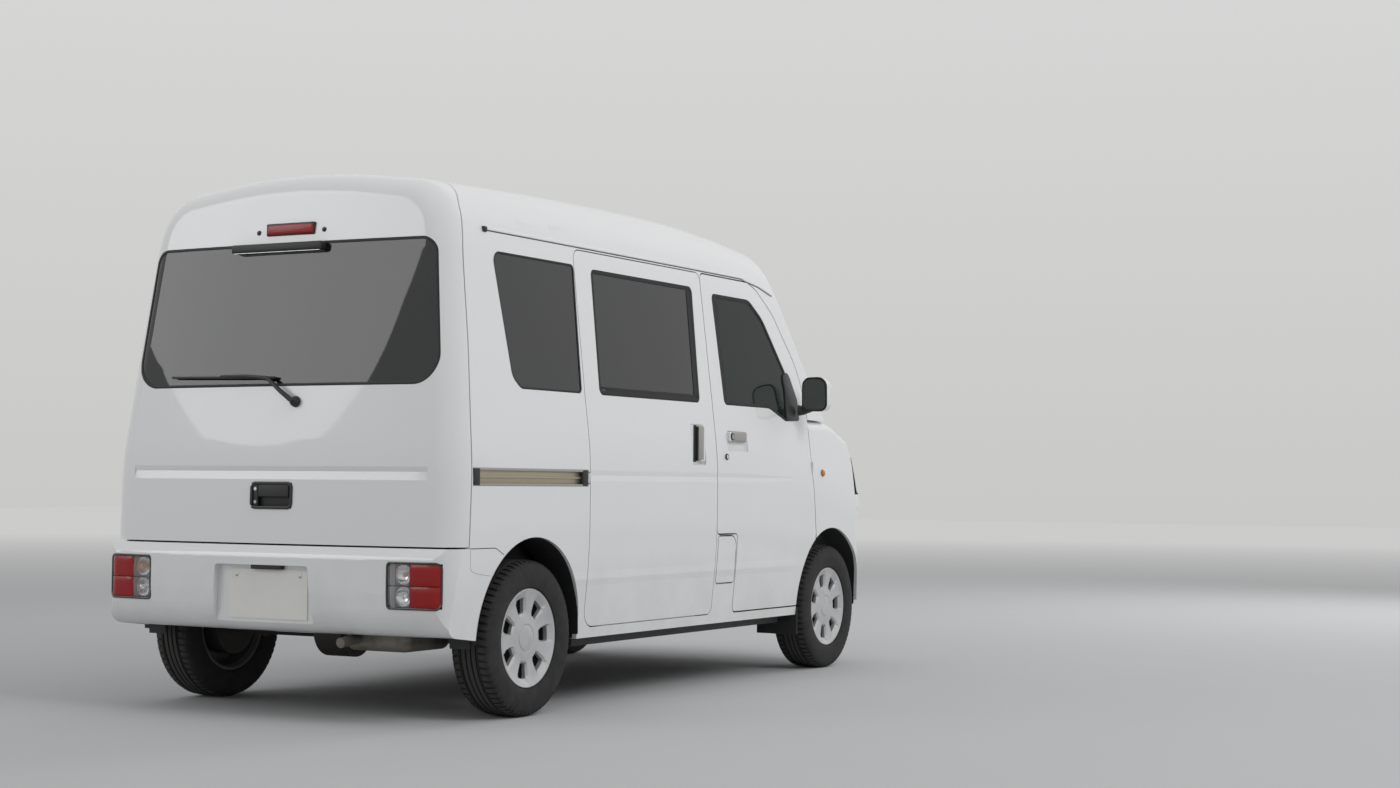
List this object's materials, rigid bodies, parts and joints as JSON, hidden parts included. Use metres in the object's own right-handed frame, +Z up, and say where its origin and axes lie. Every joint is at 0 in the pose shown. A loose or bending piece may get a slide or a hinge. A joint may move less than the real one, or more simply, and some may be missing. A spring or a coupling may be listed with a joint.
{
  "type": "kei van",
  "caption": "High-roof one-box kei van with sliding side doors, hinged front doors, top-hinged tailgate, dark rear glass and steered front wheels.",
  "frame": {"origin": "on the ground, below the centre of the whole van's box", "axes": "+X to the vehicle's left, +Y to its rear, +Z up; the front faces -Y"},
  "size_m": [1.736, 3.3949, 1.8795],
  "materials": {
    "paint": "gloss white",
    "clear_glass": "clear, slightly green",
    "privacy_glass": "dark tint",
    "lamp_clear": "clear lens",
    "lamp_red": "red and clear lens",
    "black_plastic": "satin",
    "grey_plastic": "grained",
    "black_rubber": "matt",
    "tyre_rubber": "matt",
    "wheel_silver": "silver paint",
    "rail_metal": "satin",
    "underbody": "matt",
    "cast_metal": "rough",
    "exhaust_steel": "dull",
    "seat_fabric": "woven",
    "plate_metal": "blank"
  },
  "bodies": {
    "body": {"body_side_left": "paint", "body_side_right": "paint", "chassis_frame": "underbody", "cowl": "black_plastic", "dashboard": "grey_plastic", "door_pillars": "paint", "engine_block": "cast_metal", "exhaust": "exhaust_steel", "fender_left": "paint", "fender_right": "paint", "floor_pan": "underbody", "front_bumper": "paint", "front_seats": "seat_fabric", "front_suspension": "cast_metal", "fuel_tank": "underbody", "grille": "black_plastic", "headlamps": "lamp_clear", "mud_flaps": "black_rubber", "nose_panel": "paint", "prop_shaft": "cast_metal", "rear_axle": "cast_metal", "rear_bumper": "paint", "rear_plate": "plate_metal", "rear_seat": "seat_fabric", "roof_panel": "paint", "side_glass": "privacy_glass", "slide_rails": "rail_metal", "sliding_door_left": "paint", "sliding_door_right": "paint", "tail_lamps": "lamp_red", "windscreen": "clear_glass", "windscreen_frame": "paint"},
    "front_door_left": {"front_door_left": "paint", "door_glass_left": "clear_glass", "mirror_left": "paint"},
    "front_door_right": {"front_door_right": "paint", "door_glass_right": "clear_glass", "mirror_right": "paint"},
    "tailgate": {"tailgate": "paint", "tailgate_glass": "privacy_glass", "rear_wiper": "black_plastic"},
    "hood": {"hood": "paint"},
    "fuel_lid": {"fuel_lid": "paint"},
    "steering_wheel": {"steering_wheel": "black_plastic"},
    "knuckle_left": {"knuckle_left": "cast_metal"},
    "knuckle_right": {"knuckle_right": "cast_metal"},
    "wheel_front_left": {"tyre_front_left": "tyre_rubber", "wheel_front_left": "wheel_silver"},
    "wheel_front_right": {"tyre_front_right": "tyre_rubber", "wheel_front_right": "wheel_silver"},
    "wheel_rear_left": {"tyre_rear_left": "tyre_rubber", "wheel_rear_left": "wheel_silver"},
    "wheel_rear_right": {"tyre_rear_right": "tyre_rubber", "wheel_rear_right": "wheel_silver"}
  },
  "joints": [
    {"name": "front_door_left_hinge", "type": "hinge", "parent": "body", "child": "front_door_left", "pos_m": [0.7335, -1.0502, 0.8], "axis": [0, 0, -1], "range_deg": [0, 65]},
    {"name": "front_door_right_hinge", "type": "hinge", "parent": "body", "child": "front_door_right", "pos_m": [-0.7335, -1.0502, 0.8], "axis": [0, 0, 1], "range_deg": [0, 65]},
    {"name": "tailgate_hinge", "type": "hinge", "parent": "body", "child": "tailgate", "pos_m": [0, 1.3528, 1.8506], "axis": [1, 0, 0], "range_deg": [0, 85]},
    {"name": "hood_hinge", "type": "hinge", "parent": "body", "child": "hood", "pos_m": [0, -1.3898, 1.0607], "axis": [-1, 0, 0], "range_deg": [0, 50]},
    {"name": "fuel_lid_hinge", "type": "hinge", "parent": "body", "child": "fuel_lid", "pos_m": [-0.72913, -0.3295, 0.505], "axis": [-0.0649, 0, 0.9979], "range_deg": [0, 90]},
    {"name": "steering_turn", "type": "hinge", "parent": "body", "child": "steering_wheel", "pos_m": [-0.345, -0.985, 1.055], "axis": [0, 0.6402, 0.7682], "range_deg": [-540, 540]},
    {"name": "knuckle_left_steer", "type": "hinge", "parent": "body", "child": "knuckle_left", "pos_m": [0.605, -1.241, 0.18], "axis": [-0.1724, 0, 0.985], "range_deg": [-33, 33]},
    {"name": "knuckle_right_steer", "type": "hinge", "parent": "body", "child": "knuckle_right", "pos_m": [-0.605, -1.241, 0.18], "axis": [0.1724, 0, 0.985], "range_deg": [-33, 33]},
    {"name": "wheel_front_left_spin", "type": "hinge", "parent": "knuckle_left", "child": "wheel_front_left", "pos_m": [0.65, -1.241, 0.266], "axis": [1, 0, 0], "continuous": true},
    {"name": "wheel_front_right_spin", "type": "hinge", "parent": "knuckle_right", "child": "wheel_front_right", "pos_m": [-0.65, -1.241, 0.266], "axis": [1, 0, 0], "continuous": true},
    {"name": "wheel_rear_left_spin", "type": "hinge", "parent": "body", "child": "wheel_rear_left", "pos_m": [0.645, 1.157, 0.266], "axis": [1, 0, 0], "continuous": true},
    {"name": "wheel_rear_right_spin", "type": "hinge", "parent": "body", "child": "wheel_rear_right", "pos_m": [-0.645, 1.157, 0.266], "axis": [1, 0, 0], "continuous": true}
  ],
  "couplings": [
    {"joint": "knuckle_left_steer", "follows": "steering_turn", "ratio": 0.061},
    {"joint": "knuckle_right_steer", "follows": "steering_turn", "ratio": 0.061}
  ]
}
